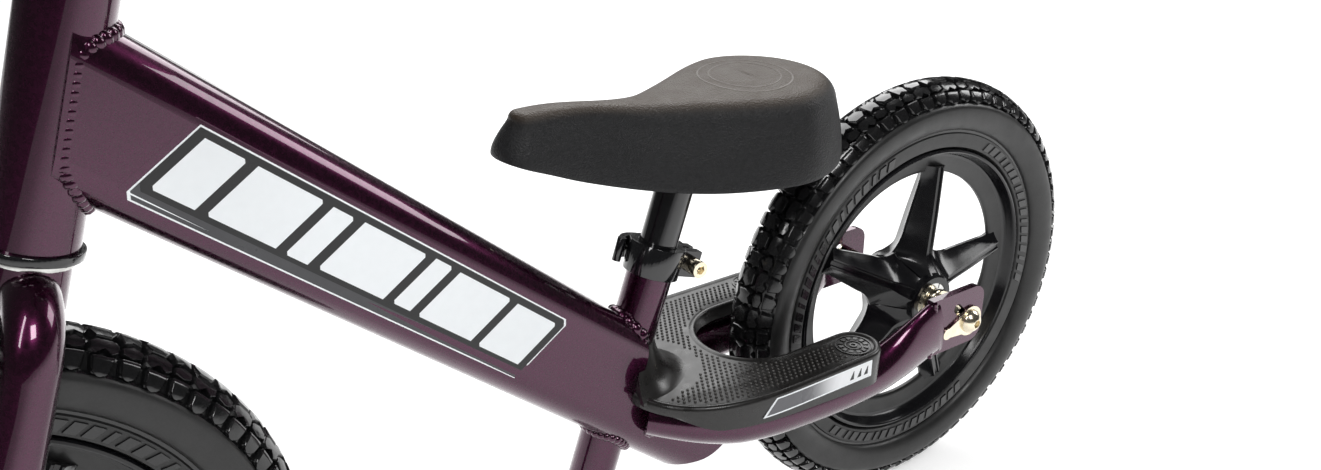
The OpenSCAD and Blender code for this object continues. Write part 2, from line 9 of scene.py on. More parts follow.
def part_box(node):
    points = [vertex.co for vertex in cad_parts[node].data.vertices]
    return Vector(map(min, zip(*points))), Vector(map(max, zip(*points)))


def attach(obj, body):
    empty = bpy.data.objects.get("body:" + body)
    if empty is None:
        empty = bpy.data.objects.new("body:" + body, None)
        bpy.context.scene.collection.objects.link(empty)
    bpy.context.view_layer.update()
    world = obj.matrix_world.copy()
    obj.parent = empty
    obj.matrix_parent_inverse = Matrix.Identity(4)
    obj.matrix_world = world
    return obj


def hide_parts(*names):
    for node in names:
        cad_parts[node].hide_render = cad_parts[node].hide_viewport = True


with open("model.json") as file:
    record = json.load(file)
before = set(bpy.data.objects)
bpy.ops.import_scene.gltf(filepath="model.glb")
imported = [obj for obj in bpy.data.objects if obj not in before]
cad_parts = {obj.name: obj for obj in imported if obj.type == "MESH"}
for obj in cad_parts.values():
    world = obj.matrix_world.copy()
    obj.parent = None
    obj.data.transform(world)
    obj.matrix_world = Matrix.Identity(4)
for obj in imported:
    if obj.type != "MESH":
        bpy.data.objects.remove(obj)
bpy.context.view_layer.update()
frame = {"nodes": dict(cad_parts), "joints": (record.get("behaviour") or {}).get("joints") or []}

MM = 0.001
TAU = 2 * math.pi


# ---- Places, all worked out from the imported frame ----

def middle(node):
    lo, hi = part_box(node)
    return (lo + hi) / 2


def local_frame(origin, z_axis):
    """Axes at origin with Z along z_axis, Y to the rider's left and X forward, in millimetres."""
    y_axis = Vector((0, 1, 0))
    turn = Matrix((y_axis.cross(z_axis), y_axis, z_axis)).transposed().to_4x4()
    return Matrix.Translation(origin) @ turn @ Matrix.Scale(MM, 4)


def tube_frame(node, joint):
    """The frame of a tube whose axis a joint gives, with its origin at the height of the axles."""
    axis = Vector(next(j["axis"] for j in frame["joints"] if j["name"] == joint)).normalized()
    centre = middle(node)
    return local_frame(centre + axis * (rear_hub.z - centre.z) / axis.z, axis)


rear_hub = middle("rear_tyre")
front_hub = middle("front_tyre")
UP = Vector((0, 0, 1))
REAR = local_frame(rear_hub, UP)
FRONT = local_frame(front_hub, UP)
SEAT = tube_frame("seat_tube", "seat_height")
HEAD = tube_frame("head_tube", "steering")
MAIN_SLOPE = math.radians(40.8)
MAIN_AHEAD = 272
MAIN_ABOVE = 38.9
MAIN = local_frame(REAR @ Vector((MAIN_AHEAD, 0, MAIN_ABOVE)),
                   Vector((math.cos(MAIN_SLOPE), 0, math.sin(MAIN_SLOPE))))


# ---- Camera ----

VIEW_AZIMUTH = math.radians(34.755)
VIEW_ELEVATION = math.radians(24.806)
VIEW_DISTANCE = 0.7833
VIEW_ASIDE = 0.1707
VIEW_DROP = 0.0361
LENS = 30.393


def make_camera():
    back = Vector((math.sin(VIEW_AZIMUTH) * math.cos(VIEW_ELEVATION),
                   math.cos(VIEW_AZIMUTH) * math.cos(VIEW_ELEVATION), math.sin(VIEW_ELEVATION)))
    right = Vector((-math.cos(VIEW_AZIMUTH), math.sin(VIEW_AZIMUTH), 0))
    up = back.cross(right)
    lens = bpy.data.cameras.new("camera")
    lens.lens = LENS
    lens.sensor_width = 36
    camera = bpy.data.objects.new("camera", lens)
    place = Matrix((right, up, back)).transposed().to_4x4()
    place.translation = rear_hub + VIEW_DISTANCE * back - VIEW_ASIDE * right + VIEW_DROP * up
    camera.matrix_world = place
    bpy.context.scene.collection.objects.link(camera)
    bpy.context.scene.camera = camera


# ---- Materials ----

NOISE = "ShaderNodeTexNoise"
CELLS = "ShaderNodeTexVoronoi"


def texture(tree, coords, kind, scale):
    """The value of a noise, or the distance of a cell pattern, over the object's own coordinates."""
    node = tree.nodes.new(kind)
    tree.links.new(coords, node.inputs["Vector"])
    node.inputs["Scale"].default_value = scale
    if kind == NOISE:
        node.inputs["Detail"].default_value = 3
        return node.outputs["Fac"]
    return node.outputs["Distance"]


def ramp(tree, value, low, high):
    """Stretches the middle of a noise to the range from low to high."""
    node = tree.nodes.new("ShaderNodeMapRange")
    tree.links.new(value, node.inputs["Value"])
    node.inputs["From Min"].default_value = 0.3
    node.inputs["From Max"].default_value = 0.7
    node.inputs["To Min"].default_value = low
    node.inputs["To Max"].default_value = high
    return node.outputs["Result"]


def mix(tree, factor, a, b):
    """Mixes two colours, each one a triple or a socket."""
    node = tree.nodes.new("ShaderNodeMix")
    node.data_type = "RGBA"
    tree.links.new(factor, node.inputs[0])
    for socket, value in ((node.inputs[6], a), (node.inputs[7], b)):
        if isinstance(value, bpy.types.NodeSocket):
            tree.links.new(value, socket)
        else:
            socket.default_value = (*value, 1)
    return node.outputs[2]


def add_grain(tree, coords, bsdf, grain):
    """A chain of bumps into the shader's normal, from a list of (texture, scale, depth in metres)."""
    normal = None
    for kind, scale, depth in grain:
        bump = tree.nodes.new("ShaderNodeBump")
        bump.inputs["Distance"].default_value = depth
        bump.inputs["Strength"].default_value = 1
        tree.links.new(texture(tree, coords, kind, scale), bump.inputs["Height"])
        if normal:
            tree.links.new(normal, bump.inputs["Normal"])
        normal = bump.outputs["Normal"]
    if normal:
        tree.links.new(normal, bsdf.inputs["Normal"])


def finish_material(name, colour, rough, metal=0.0, coat=0.0, coat_rough=0.05, mottle=(300, 0.2),
                    grain=(), rough_by=0.06, sheen=0.0, specular=0.5, second=None):
    """A surface whose colour varies with noise, given as (scale, amount) in mottle, and whose
    roughness varies with a wider noise. grain is add_grain's list. second is (colour, attribute): it
    is mixed in where the mesh's attribute says."""
    mat = bpy.data.materials.new(name)
    mat.use_nodes = True
    tree = mat.node_tree
    bsdf = tree.nodes["Principled BSDF"]
    coords = tree.nodes.new("ShaderNodeTexCoord").outputs["Object"]
    size, spread = mottle
    base = mix(tree, ramp(tree, texture(tree, coords, NOISE, size), 0, 1),
               [c * (1 - spread) for c in colour], [c * (1 + spread) for c in colour])
    if second:
        where = tree.nodes.new("ShaderNodeAttribute")
        where.attribute_name = second[1]
        base = mix(tree, where.outputs["Fac"], base, second[0])
    tree.links.new(base, bsdf.inputs["Base Color"])
    wide = texture(tree, coords, NOISE, size / 6)
    gloss = ramp(tree, wide, max(0.02, rough - rough_by), rough + rough_by)
    tree.links.new(gloss, bsdf.inputs["Roughness"])
    bsdf.inputs["Metallic"].default_value = metal
    bsdf.inputs["Coat Weight"].default_value = coat
    bsdf.inputs["Coat Roughness"].default_value = coat_rough
    bsdf.inputs["Sheen Weight"].default_value = sheen
    bsdf.inputs["Specular IOR Level"].default_value = specular
    add_grain(tree, coords, bsdf, grain)
    return mat


PAINT = finish_material("plum_paint", (0.05, 0.0045, 0.028), 0.27, metal=0.93, coat=1.0, coat_rough=0.03,
                        mottle=(2600, 0.3), grain=[(NOISE, 160, 0.00002)])
BLACK_METAL = finish_material("black_anodised", (0.008, 0.008, 0.009), 0.22, mottle=(900, 0.3),
                              grain=[(NOISE, 1500, 0.00001)])
POLISHED = finish_material("polished_black", (0.006, 0.006, 0.007), 0.12, mottle=(700, 0.2), coat=0.6)
ZINC = finish_material("pale_zinc", (0.80, 0.72, 0.56), 0.2, metal=1.0, mottle=(240, 0.1),
                       grain=[(NOISE, 900, 0.00003)])
STEEL = finish_material("bearing_steel", (0.62, 0.62, 0.6), 0.18, metal=1.0, mottle=(300, 0.06))
GLOSS = finish_material("glossy_black_plastic", (0.005, 0.005, 0.006), 0.17, mottle=(400, 0.2),
                        grain=[(NOISE, 130, 0.00004)], rough_by=0.04)
RIM_BLACK = finish_material("rim_plastic", (0.012, 0.012, 0.012), 0.36, mottle=(500, 0.2),
                            grain=[(NOISE, 900, 0.00002)])
TREAD = finish_material("tread_foam", (0.007, 0.007, 0.0075), 0.18, mottle=(500, 0.25), coat=0.3,
                        grain=[(NOISE, 220, 0.00012)])
SIDEWALL = finish_material("sidewall_foam", (0.012, 0.012, 0.012), 0.4, mottle=(800, 0.2),
                           grain=[(NOISE, 1200, 0.00003)])
DECK = finish_material("footrest_plastic", (0.012, 0.011, 0.0105), 0.3, mottle=(700, 0.2),
                       grain=[(NOISE, 1500, 0.00002)])
# The studs are coloured lighter than the deck they are moulded in: a painted highlight standing in for the
# light caught on each raised stud.
STUD_HIGHLIGHT_PAINT = finish_material("footrest_studs", (0.06, 0.057, 0.054), 0.22, mottle=(700, 0.2),
                       grain=[(NOISE, 1500, 0.00002)])
# The second colour, a lighter brown mixed in across the saddle's crown, is a painted sheen: it stands in
# for the overhead light's reflection on the top.
LEATHER = finish_material("saddle_skin", (0.010, 0.010, 0.011), 0.45, mottle=(500, 0.3), specular=0.3,
                          grain=[(CELLS, 1000, 0.0003), (NOISE, 2200, 0.00015)],
                          second=((0.05, 0.035, 0.023), "top_sheen_paint"))
BADGE = finish_material("badge_skin", (0.085, 0.068, 0.055), 0.45, mottle=(600, 0.2),
                        grain=[(CELLS, 900, 0.00015)])
UNDER = finish_material("under_plastic", (0.012, 0.012, 0.013), 0.5, mottle=(400, 0.2),
                        grain=[(NOISE, 600, 0.0001)])
RUBBER = finish_material("grip_rubber", (0.012, 0.012, 0.012), 0.5, mottle=(600, 0.2),
                         grain=[(NOISE, 1800, 0.0001)])
CLOTH = finish_material("pad_cloth", (0.016, 0.016, 0.018), 0.8, mottle=(1500, 0.35), sheen=0.25,
                        grain=[(CELLS, 1100, 0.0003), (NOISE, 200, 0.0004)])
THREAD = finish_material("pad_thread", (0.05, 0.05, 0.055), 0.7, mottle=(2500, 0.4),
                         grain=[(NOISE, 3000, 0.0002)])
WHITE_INK = finish_material("white_ink", (0.88, 0.91, 0.93), 0.4, mottle=(200, 0.01), rough_by=0.02)
BLACK_INK = finish_material("black_ink", (0.006, 0.006, 0.007), 0.3, mottle=(200, 0.1))
GREY_INK = finish_material("grey_ink", (0.05, 0.05, 0.055), 0.3, mottle=(200, 0.05))
SILVER_INK = finish_material("silver_ink", (0.10, 0.10, 0.11), 0.28, mottle=(200, 0.05),
                             second=((0.85, 0.86, 0.88), "bright"))


# ---- Mesh helpers ----

def add_mesh(name, verts, faces, material, body, slot, place=None, replaces=(), sharp=38, bevel=0.0):
    """A piece from points in the millimetres of place. material may be a list, with each face then a
    pair of its points and its material's number."""
    place = place or REAR
    materials = material if isinstance(material, list) else [material]
    marked = isinstance(material, list)
    mesh = bpy.data.meshes.new(name)
    mesh.from_pydata([place @ Vector(v) for v in verts], [], [f[0] if marked else f for f in faces])
    for m in materials:
        mesh.materials.append(m)
    if marked:
        mesh.polygons.foreach_set("material_index", [f[1] for f in faces])
    shape = bmesh.new()
    shape.from_mesh(mesh)
    bmesh.ops.remove_doubles(shape, verts=shape.verts, dist=1e-7)
    bmesh.ops.recalc_face_normals(shape, faces=shape.faces)
    shape.to_mesh(mesh)
    shape.free()
    mesh.shade_smooth()
    mesh.set_sharp_from_angle(angle=math.radians(sharp))
    piece = bpy.data.objects.new(name, mesh)
    bpy.context.scene.collection.objects.link(piece)
    if bevel:
        add_bevel(piece, bevel)
    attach(piece, body)
    if replaces:
        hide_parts(*replaces)
    return piece


def add_bevel(piece, width, angle=38):
    """Rounds a piece's hard edges. CAD meshes come with split edges, so they are welded first."""
    weld = piece.modifiers.new("weld", "WELD")
    weld.merge_threshold = 1e-5
    bevel = piece.modifiers.new("bevel", "BEVEL")
    bevel.width = width * MM
    bevel.segments = 2
    bevel.limit_method = "ANGLE"
    bevel.angle_limit = math.radians(angle)
    bevel.harden_normals = True


def loft(rings, start=0, closed=False, caps=True):
    """Faces that skin rings of equal length, whose first point has number start."""
    n = len(rings[0])
    m = len(rings)
    verts = [p for ring in rings for p in ring]
    faces = []
    for k in range(m if closed else m - 1):
        for i in range(n):
            j = (i + 1) % n
            a, b = k * n, (k + 1) % m * n
            faces.append([start + a + i, start + a + j, start + b + j, start + b + i])
    if caps and not closed:
        faces.append([start + i for i in range(n)][::-1])
        faces.append([start + (m - 1) * n + i for i in range(n)])
    return verts, faces


class Parts:
    """Collects several closed shapes into one mesh's points and faces."""

    def __init__(self):
        self.verts = []
        self.faces = []

    def add(self, shape, number=None):
        verts, faces = shape
        shift = len(self.verts)
        self.verts += verts
        for f in faces:
            moved = [i + shift for i in f]
            self.faces.append(moved if number is None else (moved, number))


def smooth_path(points, steps):
    """A Catmull-Rom curve through the points, with steps pieces between each two."""
    pts = [Vector(p) for p in points]
    out = []
    for i in range(len(pts) - 1):
        a = pts[max(0, i - 1)]
        b = pts[i]
        c = pts[i + 1]
        d = pts[min(len(pts) - 1, i + 2)]
        for k in range(steps):
            t = k / steps
            out.append(0.5 * ((2 * b) + (c - a) * t + (2 * a - 5 * b + 4 * c - d) * t * t
                              + (3 * b - a - 3 * c + d) * t ** 3))
    out.append(pts[-1])
    return out


def ease(t):
    t = min(1.0, max(0.0, t))
    return t * t * (3 - 2 * t)


def sweep(path, size, sides=28, side=Vector((0, 1, 0))):
    """Rings along a path. size(t) gives the half width along side and the other half width."""
    rings = []
    last = len(path) - 1
    for k, p in enumerate(path):
        ahead = (path[min(last, k + 1)] - path[max(0, k - 1)]).normalized()
        u = (side - ahead * side.dot(ahead)).normalized()
        v = ahead.cross(u)
        wide, tall = size(k / last)
        rings.append([p + u * wide * math.cos(TAU * i / sides) + v * tall * math.sin(TAU * i / sides)
                      for i in range(sides)])
    return rings


def revolve(profile, segments, marks=None):
    """Turns a closed (radius, along) outline about the Y axis of a wheel's frame."""
    rings = []
    for k in range(segments):
        a = TAU * k / segments
        rings.append([(r * math.cos(a), y, r * math.sin(a)) for r, y in profile])
    verts, faces = loft(rings, closed=True)
    if marks is None:
        return verts, faces
    n = len(profile)
    return verts, [(f, marks[i % n]) for i, f in enumerate(faces)]


# ---- Weld beads ----

def node_tree_of(node):
    mesh = frame["nodes"][node].data
    return BVHTree.FromPolygons([v.co for v in mesh.vertices], [p.vertices for p in mesh.polygons])


def first_hit(line, tree):
    """Where a line of world points first meets the surface."""
    for a, b in zip(line, line[1:]):
        hit, normal, _, _ = tree.ray_cast(a, (b - a).normalized(), (b - a).length)
        if hit is not None:
            return hit, normal
    return None


def bead(name, hits, ripples, radius, closed=True):
    """A weld bead of overlapping ripples through the points where two tubes meet."""
    hits = [h for h in hits if h]
    path = [h[0] for h in hits]
    length = sum((b - a).length for a, b in zip(path, path[1:] + ([path[0]] if closed else [])))
    steps = ripples * 6
    spacing = length / steps
    line, normals = [], []
    run = 0.0
    loop = list(range(len(path))) + ([0] if closed else [])
    for i, j in zip(loop, loop[1:]):
        piece = (path[j] - path[i]).length
        while run < piece and len(line) < steps:
            t = run / piece if piece else 0
            line.append(path[i].lerp(path[j], t))
            normals.append(hits[i][1].lerp(hits[j][1], t).normalized())
            run += spacing
        run -= piece
    n = len(line)
    rings = []
    for k in range(n):
        a = line[(k - 1) % n] if closed else line[max(0, k - 1)]
        b = line[(k + 1) % n] if closed else line[min(n - 1, k + 1)]
        ahead = (b - a).normalized()
        u = (normals[k] - ahead * normals[k].dot(ahead)).normalized()
        v = ahead.cross(u)
        phase = (k % 6) / 6
        r = radius * MM * (0.6 + 0.4 * math.sqrt(math.sin(math.pi * (0.06 + 0.88 * phase))))
        rings.append([line[k] + u * r * 0.8 * math.cos(TAU * i / 12) + v * r * math.sin(TAU * i / 12)
                      for i in range(12)])
    verts, faces = loft(rings, closed=closed)
    add_mesh(name, verts, faces, PAINT, "frame", "frame_paint", place=Matrix.Identity(4), sharp=60)


def tube_lines(place, radius, start, end):
    """Lines that run along a tube's wall, from start to end on its axis."""
    count = 48
    return [[place @ Vector((radius * math.cos(TAU * i / count), radius * math.sin(TAU * i / count), s))
             for s in (start, end)] for i in range(count)]


# ---- Wheels: tyre, rim and star ----

TYRE_MID = 130.5
TYRE_SECTION = 19.5
TREAD_PITCHES = 38
# Numbers of the tyre's two materials in its faces, and of the rim's
TREAD_FACE, WALL_FACE = 0, 1
LIP_FACE, WEB_FACE = 0, 1
PITCH = TAU / TREAD_PITCHES
CROWN = TYRE_MID + TYRE_SECTION


def tyre_profile():
    """Half of the tyre's outline from the bead outwards, as (radius, along, material)."""
    points = [(104, 0, WALL_FACE), (104, 9.6, WALL_FACE), (105.8, 12.6, WALL_FACE),
              (110, 13.2, WALL_FACE), (115.2, 13.6, WALL_FACE), (115.9, 12.6, TREAD_FACE),
              (117.5, 12.6, WALL_FACE), (118.2, 14.6, WALL_FACE)]
    for k in range(22):
        a = math.radians(-34 + 124 * k / 21)
        r = TYRE_SECTION - 0.3 - 3.2 * ease((math.degrees(a) - 15) / 10)
        points.append((TYRE_MID + r * math.sin(a), r * math.cos(a),
                       WALL_FACE if a < math.radians(17) else TREAD_FACE))
    return points


def tread_point(turn, along, across, lift):
    """A point on the tread: along the run and across it from the crown, in millimetres of arc."""
    a = across / TYRE_SECTION
    r = TYRE_SECTION + lift
    out = TYRE_MID + r * math.cos(a)
    t = turn + along / CROWN
    return (out * math.cos(t), r * math.sin(a), out * math.sin(t))


def knob(turn, outline, side=1, root=-4.0):
    """A moulded block with slanted walls, a rounded rim and a crowned top."""
    cs = sum(p[0] for p in outline) / len(outline)
    ct = sum(p[1] for p in outline) / len(outline)
    rings = []
    for scale, lift in ((1.16, root), (1.0, -0.6), (0.9, 0.0), (0.4, 0.0)):
        rings.append([tread_point(turn, cs + (s - cs) * scale, side * (ct + (t - ct) * scale), lift)
                      for s, t in outline])
    verts, faces = loft(rings, caps=False)
    n = len(outline)
    verts += [tread_point(turn, cs, side * ct, 0.0), tread_point(turn, cs, side * ct, root)]
    for i in range(n):
        j = (i + 1) % n
        faces += [[3 * n + i, 3 * n + j, 4 * n], [j, i, 4 * n + 1]]
    return verts, faces


def lug(turn, side, inner, outer, width):
    """A long bar that runs down the tyre's shoulder to a rounded end."""
    rings = []
    steps = 8
    for k in range(steps + 1):
        t = k / steps
        across = inner + (outer - inner) * t
        w = width / 2 * (1 - 0.25 * t) * math.sqrt(max(0.05, 1 - max(0, (t - 0.72) / 0.3) ** 2))
        drop = 0.5 * max(0, (t - 0.7) / 0.3) ** 2
        if k == 0:
            drop = 0.5
        rings.append([tread_point(turn, s, side * across, h - drop)
                      for s, h in ((-w - 0.8, -4.0), (-w, -0.7), (-w + 0.7, 0), (0, 0.1), (w - 0.7, 0),
                                   (w, -0.7), (w + 0.8, -4.0))])
    return loft(rings)


HEXAGON = [(-6.3, 0), (-3.5, 4.4), (3.5, 4.4), (6.3, 0), (3.5, -4.4), (-3.5, -4.4)]
BOW = [(-3.8, -5.8), (0, -3.8), (3.8, -5.8), (4.9, 0), (3.8, 5.8), (0, 3.8), (-3.8, 5.8), (-4.9, 0)]
ARROW = [(-6.6, 8.4), (-3.6, 6.4), (3.6, 6.4), (6.6, 8.4), (6.4, 12.4), (3.6, 14.0), (0, 11.4),
         (-3.6, 14.0), (-6.4, 12.4)]
SMALL_ARROW = [(-4.6, 8.8), (0, 6.8), (4.6, 8.8), (4.4, 12.0), (0, 13.4), (-4.4, 12.0)]


def make_tyre(end, place):
    half = tyre_profile()
    outline = half + [(r, -y, m) for r, y, m in half[-2:0:-1]]
    parts = Parts()
    verts, faces = revolve([(r, y) for r, y, _ in outline], 152, [m for _, _, m in outline])
    parts.verts, parts.faces = verts, faces
    for k in range(TREAD_PITCHES):
        turn = k * PITCH
        parts.add(knob(turn, HEXAGON), TREAD_FACE)
        parts.add(knob(turn + PITCH / 2, BOW), TREAD_FACE)
        for side in (1, -1):
            parts.add(knob(turn, ARROW, side), TREAD_FACE)
            parts.add(knob(turn + PITCH / 2, SMALL_ARROW, side), TREAD_FACE)
            parts.add(lug(turn, side, 15.0, 24.0, 10.2), TREAD_FACE)
            parts.add(lug(turn + PITCH / 2, side, 14.2, 23.0, 9.6), TREAD_FACE)
    for side in (1, -1):
        for turn, length in ring_marks():
            parts.add(ring_mark(turn, length, side), TREAD_FACE)
    add_mesh(f"{end}_tyre_foam", parts.verts, parts.faces, [TREAD, SIDEWALL], f"{end}_wheel", "tyre_foam",
             place=place, replaces=[f"{end}_tyre"], sharp=42)


def ring_marks():
    """Turns and lengths of the slanted bars moulded into the sidewall's flat ring."""
    for group in range(3):
        start = TAU * group / 3
        for k in range(18):
            yield start + k * math.radians(4.1), 3.2 if k % 4 == 3 else 6.0


def ring_mark(turn, length, side):
    """One slanted bar, which stands a little proud of the ring."""
    low, high, lean = 107.4, 113.6, math.radians(1.4)
    half = length / 110 / 2
    rings = []
    for r, shift in ((low, -lean / 2), (high, lean / 2)):
        base = 12.3
        top = 13.7 + (r - low) * 0.08
        ring = []
        for a, y in ((-half, base), (-half * 0.9, top), (half * 0.9, top), (half, base)):
            t = turn + shift + a
            ring.append((r * math.cos(t), side * y, r * math.sin(t)))
        rings.append(ring)
    return loft(rings)


WINDOW_R = 85.3
STAR_SECTOR = math.radians(36)


def make_rim(end, place):
    """Barrel with rounded lips, and a thin web inside it that the five windows are cut in."""
    lip = [(103.95, 0), (103.95, 11.6), (103.3, 12.6), (102.2, 12.9), (101.3, 12.4), (100.6, 11.0),
           (99.4, 6.6), (98.4, 5.0)]
    web = [(96.6, 4.3), (88.0, 2.4), (86.2, 1.9), (85.5, 1.2), (WINDOW_R, 0)]
    half = [(r, y, LIP_FACE) for r, y in lip] + [(r, y, WEB_FACE) for r, y in web]
    outline = half + [(r, -y, m) for r, y, m in half[-2:0:-1]]
    verts, faces = revolve([(r, y) for r, y, _ in outline], 152, [m for _, _, m in outline])
    add_mesh(f"{end}_rim_moulding", verts, faces, [GLOSS, RIM_BLACK], f"{end}_wheel", "wheel_plastic",
             place=place, replaces=[f"{end}_rim"], sharp=34)


def spoke_width(s):
    """Half width of an arm, which meets its neighbours near the hub and widens a little at the rim."""
    if s < 27:
        return s * math.tan(STAR_SECTOR) + 0.1
    if s < 46:
        return 13 + 6.7 * ((46 - s) / 19) ** 2.4
    return 13 - 4 * min(1, (s - 46) / 34) + 4 * max(0, (s - 80) / 10) ** 2.2


def spoke_ridge(s):
    """Height of the narrow ridge along the middle of each face."""
    if s > 57:
        return 6.5 + (97 - s) * 5.5 / 40
    if s > 30:
        return 12 + (57 - s) / 9
    return 15 + 11 * min(1, max(0, 30 - s) / 13) ** 1.4


def spoke_edge(s):
    """Height at the sides: thin at a window, and rising where two spokes meet in a valley."""
    return 1.3 + 23 * ease((27 - s) / 14)


def spoke(turn):
    """One arm of the star, with a grooved ridge on both faces and slopes down to the windows."""
    radial = Vector((math.cos(turn), 0, math.sin(turn)))
    tangent = Vector((-math.sin(turn), 0, math.cos(turn)))
    rings = []
    stations = [9, 12, 15, 17, 19, 21, 23, 25, 27, 29, 31, 34, 38, 42, 46, 52, 58, 66, 74, 80, 84, 87, 89.5]
    for s in stations:
        w, d, low = spoke_width(s), spoke_ridge(s), spoke_edge(s)
        c = 2.9 + 1.6 * ease((34 - s) / 16)
        half = [(w, 0.0), (w, low * 0.8), (w - 0.7, low + 0.3),
                (c + (w - c) * 0.45, low + (d - low) * 0.42), (c + 1.0, d - 1.3), (c, d),
                (c - 1.0, d), (c - 1.7, d - 1.1), (0.0, d - 1.1)]
        section = half + [(-u, y) for u, y in half[-2::-1]]
        section += [(u, -y) for u, y in section[-2:0:-1]]
        rings.append([radial * s + tangent * u + Vector((0, y, 0)) for u, y in section])
    return loft(rings)


def make_star(end, place, first):
    parts = Parts()
    for k in range(5):
        parts.add(spoke(math.radians(first + 72 * k)))
    hub = [(13.0, 26.0), (13.6, 26.4), (17.4, 26.4), (18.4, 25.6), (19.4, 22.0), (20.4, 12.0),
           (20.4, -12.0), (19.4, -22.0), (18.4, -25.6), (17.4, -26.4), (13.6, -26.4), (13.0, -26.0)]
    parts.add(revolve(hub, 64))
    add_mesh(f"{end}_star", parts.verts, parts.faces, GLOSS, f"{end}_wheel", "wheel_plastic", place=place,
             replaces=[f"{end}_spokes"], sharp=24)


# ---- Frame tubes ----

STAY = [(230, 20, -8), (218, 29, -10), (203, 37, -13), (183, 42.5, -17), (160, 46, -19), (135, 47.5, -20),
        (108, 48.5, -20), (82, 49.5, -18), (62, 51, -13), (46, 53, -6), (33, 55.5, 1.5), (27, 56, 3)]
STAY_R = 14
SEAT_TUBE_R = 13.9


def stay_rings(side):
    path = [Vector((p.x, p.y * side, p.z)) for p in smooth_path(STAY, 6)]

    def size(t):
        flat = ease((t - 6 / 11) / (5 / 11))
        r = STAY_R * (0.82 + 0.18 * min(1, t * 11 / 3))
        return r - 8.5 * flat, r + 6.5 * flat

    return sweep(path, size, sides=32)


def make_stays():
    tree = node_tree_of("main_tube")
    for name, side in (("left", 1), ("right", -1)):
        rings = stay_rings(side)
        verts, faces = loft(rings)
        add_mesh(f"stay_{name}_tube", verts, faces, PAINT, "frame", "frame_paint",
                 replaces=[f"stay_{name}"])
        lines = [[REAR @ rings[k][i] for k in range(30, -1, -2)] for i in range(32)]
        hits = [first_hit(line, tree) for line in lines]
        bead(f"weld_stay_{name}", hits, 30, 3.6)
        for y, where in ((side * 58.6, "outer"), (side * 53.4, "inner")):
            down = [(REAR @ Vector((34.5 - 2 * math.sin(math.pi * k / 12), y, 23 - 41 * k / 12)),
                     Vector((0, side if where == "outer" else -side, 0))) for k in range(13)]
            bead(f"weld_dropout_{name}_{where}", down, 17, 1.7, closed=False)


def make_tube_welds():
    main = node_tree_of("main_tube")
    head = node_tree_of("head_tube")
    upper = tube_lines(SEAT, SEAT_TUBE_R, 70, -20)
    bead("weld_seat_tube", [first_hit(line, main) for line in upper], 32, 4.2)
    lower = tube_lines(SEAT, SEAT_TUBE_R, -61, 0)
    bead("weld_stub", [first_hit(line, main) for line in lower], 28, 3.8)
    outline = section_outline(33.5, 17.6, 15)
    lines = [[MAIN @ Vector((u, v, s)) for s in (180, 330)] for u, v in outline]
    bead("weld_head_tube", [first_hit(line, head) for line in lines], 56, 4.0)


def section_outline(half_u, half_v, corner, steps=7):
    """Points round a rectangle with round corners, u across the tube upwards and v to the left."""
    points = []
    for su, sv, a0 in ((-1, 1, 90), (-1, -1, 180), (1, -1, 270), (1, 1, 0)):
        for k in range(steps):
            a = math.radians(a0 + 90 * k / (steps - 1))
            points.append((su * (half_u - corner) + corner * math.cos(a),
                           sv * (half_v - corner) + corner * math.sin(a)))
    return points


# ---- Decal on the main tube: plain slanted blocks ----

MAIN_SIDE = 20.5
SLANT = math.tan(math.radians(15))
# (front, rear, step) of each block, where step is how far it stands up or down
BLOCKS = [(246, 226, 0), (221, 187, 0), (182, 170, -0.5), (165, 128, 0), (123, 112, 0.5), (107, 72, 0),
          (67, 38, -0.5)]


def on_main_side(s, t, lift, side):
    """A point s along the main tube and t up its side. Its shoulders curve away above and below."""
    flat, corner = 17.5, 16.0
    over = abs(t) - flat
    if over <= 0:
        return (-t, side * (MAIN_SIDE + lift), s)
    a = over / corner
    up = math.copysign(flat + (corner + lift) * math.sin(a), t)
    return (-up, side * (MAIN_SIDE - corner + (corner + lift) * math.cos(a)), s)


def slab(outline, low, high, side):
    """A thin closed patch on the tube's side. Its outline is a list of (s, t)."""
    rings = [[on_main_side(s, t, lift, side) for s, t in outline] for lift in (low, high)]
    return loft(rings)


def slanted(front, rear, low, high, corner=0.0):
    """A slanted block with cut corners, cut into strips where it goes over the shoulder."""
    def at(s, t):
        return (s - SLANT * t, t)
    rows = [low + (high - low) * k / 4 for k in range(5)]
    left = [at(front, t) for t in rows]
    right = [at(rear, t) for t in reversed(rows)]
    if corner:
        left[0] = at(front - corner, rows[0])
        left.insert(1, at(front, rows[0] + corner))
        right[0] = at(rear + corner, rows[-1])
        right.insert(1, at(rear, rows[-1] - corner))
    return left + right


def make_decal(side, name):
    front = BLOCKS[0][0]
    rear = BLOCKS[-1][1]
    layers = [("film", slanted(front + 9, rear - 9, -23.5, 20.5, 5), 0.02, 0.05, PAINT),
              ("edge", slanted(front + 5.5, rear - 5.5, -21.6, 18.6, 3), 0.05, 0.09, WHITE_INK),
              ("shade", slanted(front + 4.7, rear - 4.7, -20.8, 17.8, 3), 0.09, 0.12, GREY_INK),
              ("field", slanted(front + 4.7, rear - 4.7, -16.2, 17.8, 3), 0.12, 0.15, BLACK_INK)]
    for label, outline, low, high, ink in layers:
        verts, faces = slab(outline, low, high, side)
        add_mesh(f"decal_{label}_{name}", verts, faces, ink, "frame", "frame_paint", place=MAIN)
    parts = Parts()
    for a, b, step in BLOCKS:
        parts.add(slab(slanted(a, b, -13.6 + step, 14.6 + step, 1.5), 0.15, 0.19, side))
    add_mesh(f"decal_blocks_{name}", parts.verts, parts.faces, WHITE_INK, "frame", "frame_paint",
             place=MAIN)


# ---- Footrest ----

FOOT_HALF = 68
FOOT_ARM = 33
FOOT_IN = FOOT_HALF - FOOT_ARM
FOOT_MID = 138
FOOT_BACK = 81
FOOT_FRONT = 243
FOOT_BOW = 150
DECK_Z = 10


